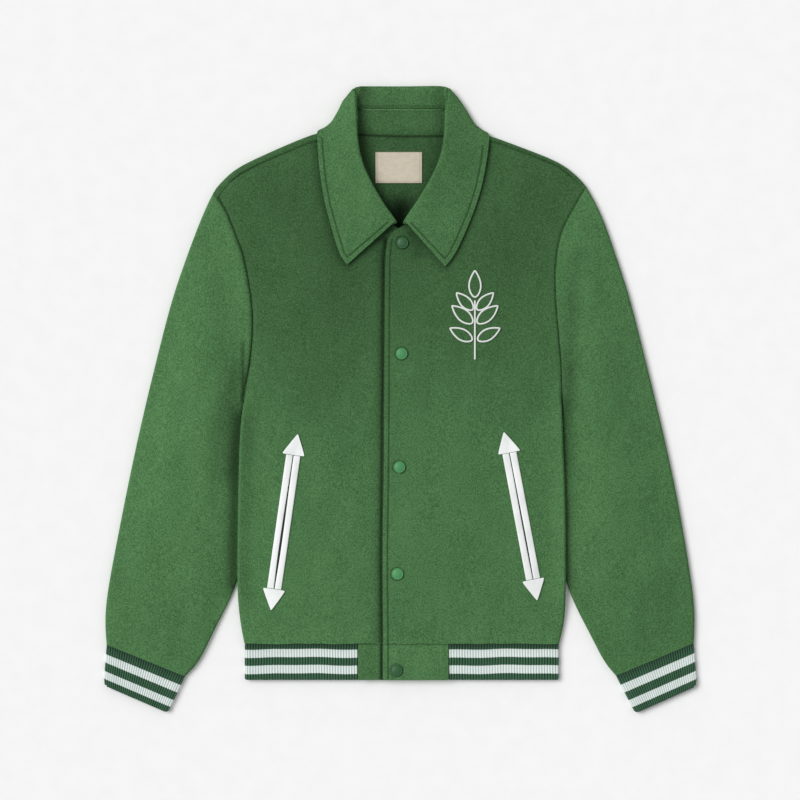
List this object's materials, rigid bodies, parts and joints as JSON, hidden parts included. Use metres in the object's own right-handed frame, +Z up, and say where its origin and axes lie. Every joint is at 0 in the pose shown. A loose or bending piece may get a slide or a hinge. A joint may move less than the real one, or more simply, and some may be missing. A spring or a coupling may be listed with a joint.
{
  "type": "varsity jacket",
  "caption": "Collared wool varsity jacket laid flat, snapped shut, with striped rib cuffs and hem, slanted leather welt pockets and a leafy chest sprig.",
  "frame": {"origin": "on the floor under the middle of the jacket's outline, as it lies flat", "axes": "+X towards the wearer's left, +Y from the hem to the collar, +Z up off the floor, out of the fronts"},
  "size_m": [0.7252, 0.7652, 0.024],
  "materials": {
    "wool": "brushed melton wool with a short matt nap, green",
    "rib": "vertical rib knit, dark green with two off-white stripes",
    "leather": "smooth white leather, edge stitched",
    "snap": "semi-gloss green enamelled snap cap",
    "label": "plain cream woven tape"
  },
  "bodies": {
    "root": {"back": "wool", "collar": "wool", "collar_stand": "wool", "cuff_left": "rib", "cuff_right": "rib", "front_left": "wool", "front_right": "wool", "hem_rib": "rib", "hem_tab_left": "wool", "hem_tab_right": "wool", "neck_label": "label", "pocket_left_arrow_bottom": "leather", "pocket_left_arrow_top": "leather", "pocket_left_welt_left": "leather", "pocket_left_welt_right": "leather", "pocket_right_arrow_bottom": "leather", "pocket_right_arrow_top": "leather", "pocket_right_welt_left": "leather", "pocket_right_welt_right": "leather", "sleeve_left": "wool", "sleeve_right": "wool", "snap_1": "snap", "snap_2": "snap", "snap_3": "snap", "snap_4": "snap", "snap_5": "snap", "sprig_leaf_left_1": "wool", "sprig_leaf_left_2": "wool", "sprig_leaf_left_3": "wool", "sprig_leaf_right_1": "wool", "sprig_leaf_right_2": "wool", "sprig_leaf_right_3": "wool", "sprig_leaf_top": "wool"}
  },
  "joints": []
}
